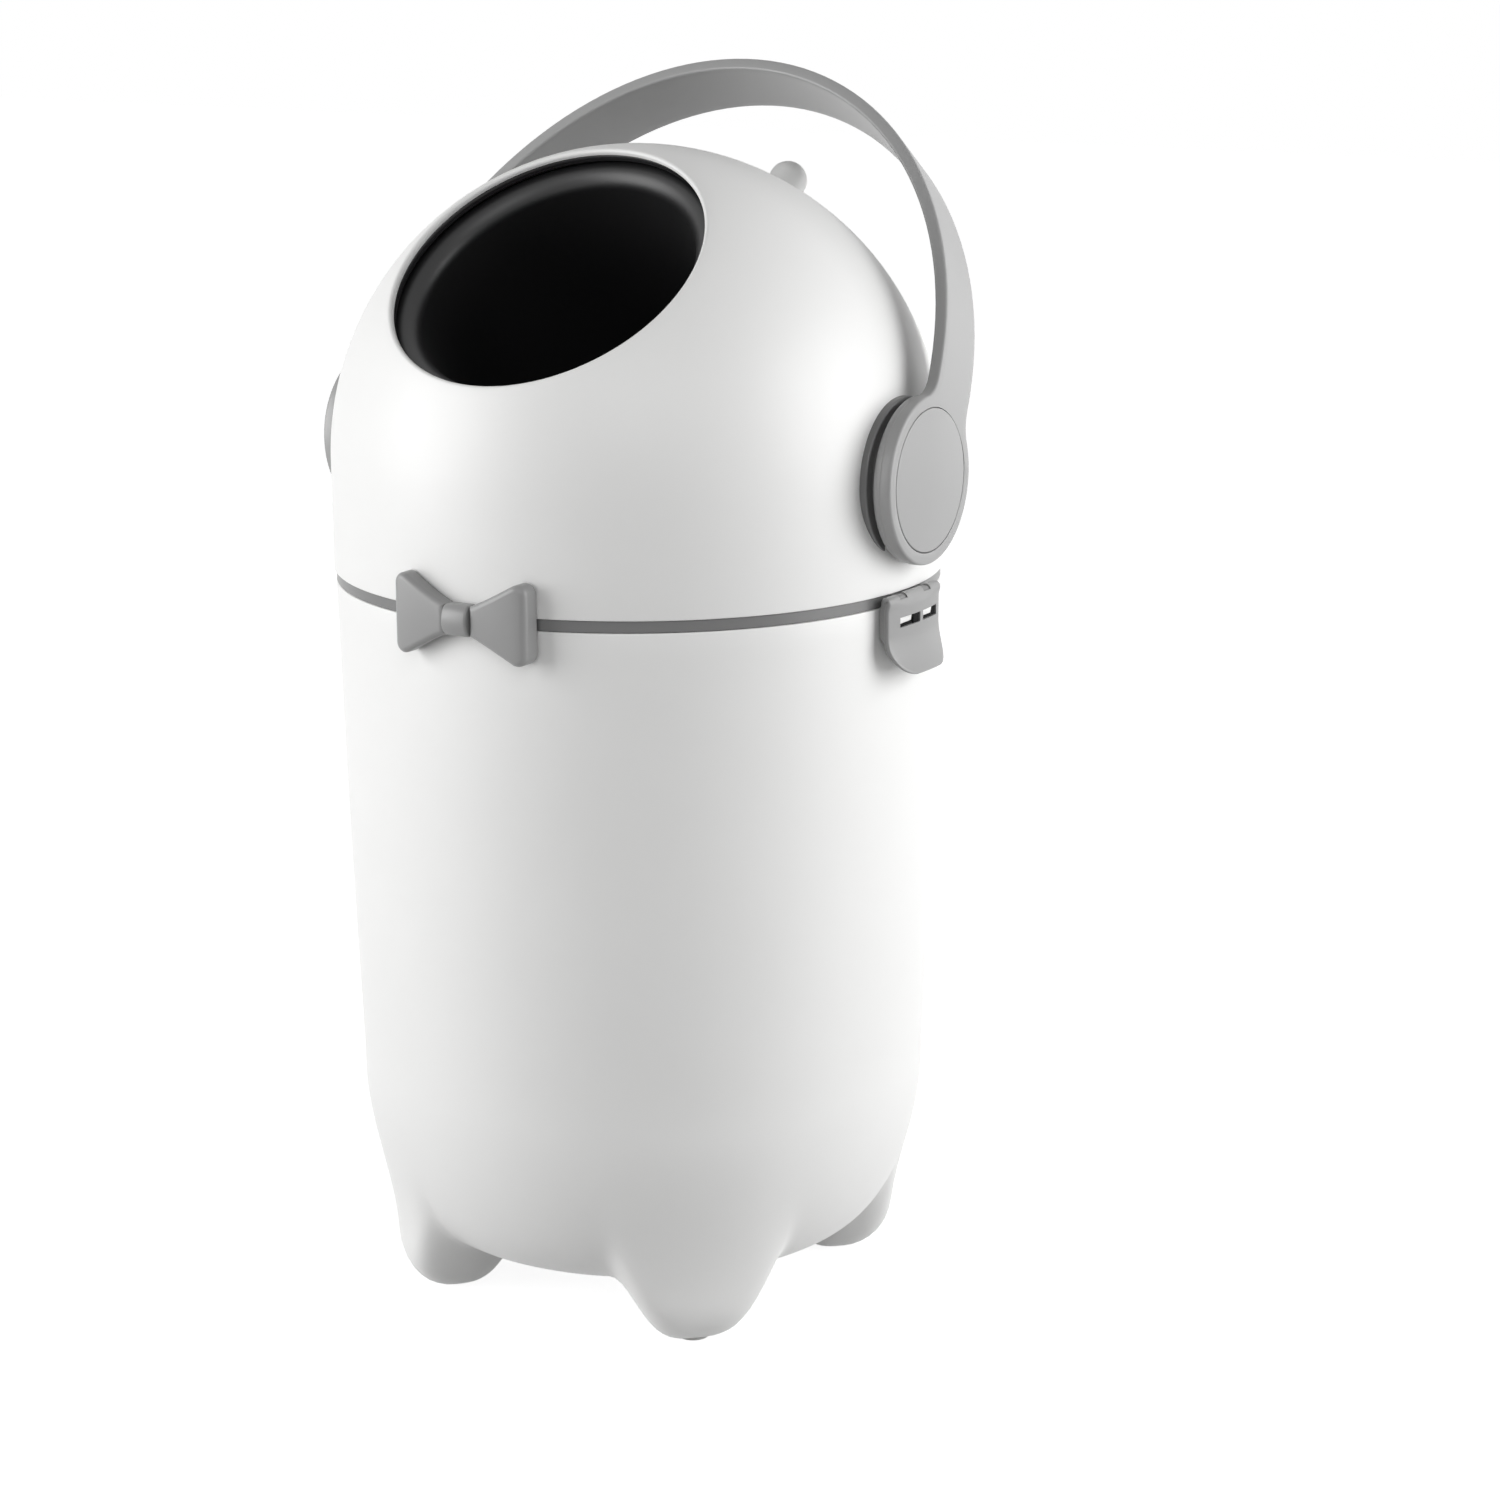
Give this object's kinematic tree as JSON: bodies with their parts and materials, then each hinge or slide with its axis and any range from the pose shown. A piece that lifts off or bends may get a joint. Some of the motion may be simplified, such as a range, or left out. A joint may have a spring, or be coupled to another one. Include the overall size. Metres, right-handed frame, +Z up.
{
  "type": "nappy bin",
  "caption": "Round nappy bin on moulded feet with a lift-off domed head, side latches, and a swinging handle that turns an inner drum to tip and close the opening",
  "frame": {"origin": "on the floor under the bucket's axis", "axes": "+Z up along the bucket's axis, -Y to the front where the opening and the bow tie face, +X to the viewer's right from the front, along the handle's axis"},
  "size_m": [0.3048, 0.2906, 0.567],
  "materials": {
    "white_shell": "moulded white plastic with a soft satin skin",
    "grey_trim": "moulded mid-grey plastic, fine matt",
    "grey_handle": "moulded light grey plastic, satin",
    "grey_drum": "moulded grey plastic, satin",
    "black_cup": "moulded black plastic with a soft sheen",
    "black_seal": "black elastomer, matt",
    "foot_rubber": "off-white elastomer, matt",
    "inner_plastic": "moulded dark grey plastic",
    "screw_steel": "plated steel"
  },
  "bodies": {
    "pail": {"bin_body": "white_shell", "foot_pads": "foot_rubber", "bag_ring": "inner_plastic"},
    "head": {"belt_ring": "grey_trim", "rim_seal": "black_seal", "dome_shell": "white_shell", "dome_base": "white_shell", "opening_seal": "black_seal", "bearing_ring_left": "grey_trim", "bearing_ring_right": "grey_trim", "bearing_screws": "screw_steel", "ring_screws": "screw_steel", "bow_wings": "grey_trim", "bow_knot": "grey_trim", "bow_screws": "screw_steel", "latch_pin_left": "screw_steel", "latch_pin_right": "screw_steel"},
    "drum": {"drum_shell_upper": "grey_drum", "drum_shell_lower": "grey_drum", "drum_cup": "black_cup", "cup_rim": "black_cup", "cup_base": "black_cup", "trunnion_left": "inner_plastic", "trunnion_right": "inner_plastic", "trunnion_screws": "screw_steel", "thrust_washers": "inner_plastic", "handle": "grey_handle", "hub_cap_left": "grey_handle", "hub_cap_right": "grey_handle", "hub_screws": "screw_steel"},
    "latch_flap_left": {"latch_left": "grey_trim"},
    "latch_flap_right": {"latch_right": "grey_trim"}
  },
  "joints": [
    {"name": "head_lift", "type": "slide", "parent": "pail", "child": "head", "axis": [0, 0, 1], "range_m": [0, 0.12]},
    {"name": "handle_turn", "type": "hinge", "parent": "head", "child": "drum", "pos_m": [0, 0, 0.394], "axis": [1, 0, 0], "range_deg": [0, 149]},
    {"name": "latch_left_swing", "type": "hinge", "parent": "head", "child": "latch_flap_left", "pos_m": [-0.1416, 0, 0.3418], "axis": [0, 1, 0], "range_deg": [0, 80]},
    {"name": "latch_right_swing", "type": "hinge", "parent": "head", "child": "latch_flap_right", "pos_m": [0.1416, 0, 0.3418], "axis": [0, -1, 0], "range_deg": [0, 80]}
  ]
}
